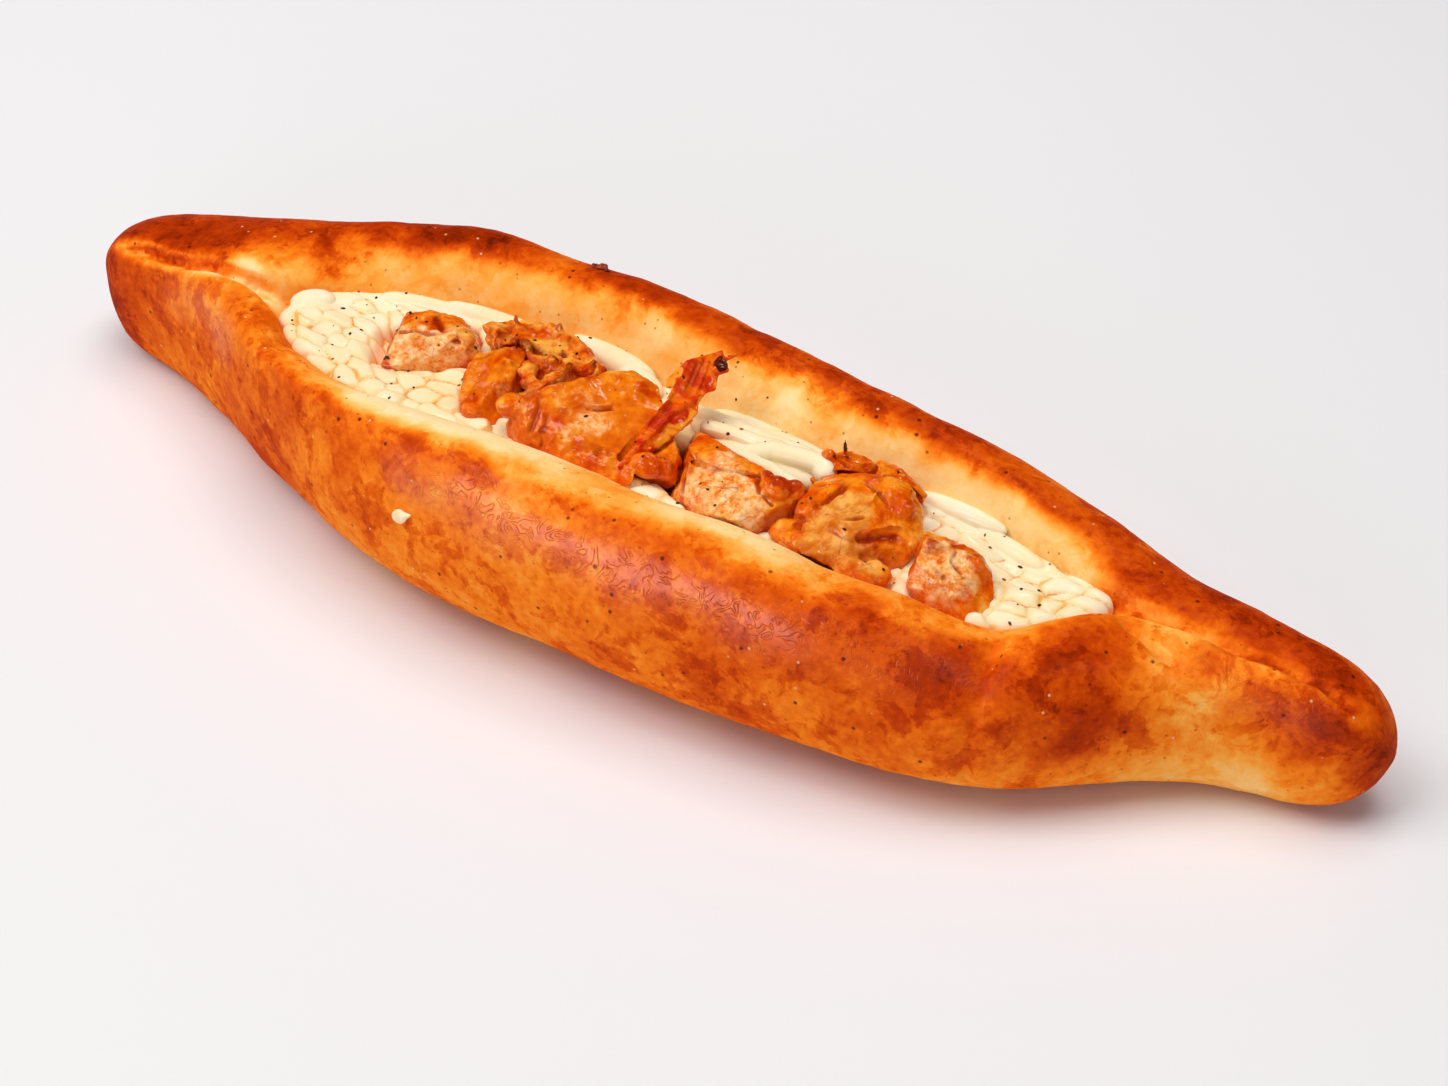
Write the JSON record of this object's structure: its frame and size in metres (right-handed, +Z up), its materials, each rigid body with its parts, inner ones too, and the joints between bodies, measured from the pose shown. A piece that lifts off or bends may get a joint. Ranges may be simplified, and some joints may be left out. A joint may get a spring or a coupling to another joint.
{
  "type": "chicken manakish",
  "caption": "Boat-shaped baked flatbread with rolled sides and pinched ends, filled with melted white cheese and topped with grilled chicken, onion and red pepper.",
  "frame": {"origin": "on the surface that the bread rests on, under the middle of its length and width", "axes": "+X along the bread towards its slimmer pinched end, +Y towards the back roll, +Z up out of the opening"},
  "size_m": [0.2434, 0.0706, 0.0415],
  "materials": {
    "crust": "golden-brown egg-washed baked crust",
    "cheese": "melted white cheese, satin",
    "chicken": "marinated grilled chicken, moist",
    "onion": "caramelised onion, moist",
    "pepper": "roasted red pepper skin, glossy"
  },
  "bodies": {
    "root": {"bread": "crust", "cheese": "cheese", "chicken_1": "chicken", "chicken_2": "chicken", "chicken_3": "chicken", "chicken_4": "chicken", "chicken_5": "chicken", "chicken_6": "chicken", "chicken_7": "chicken", "chicken_8": "chicken", "onion_1": "onion", "pepper_strip": "pepper"}
  },
  "joints": []
}
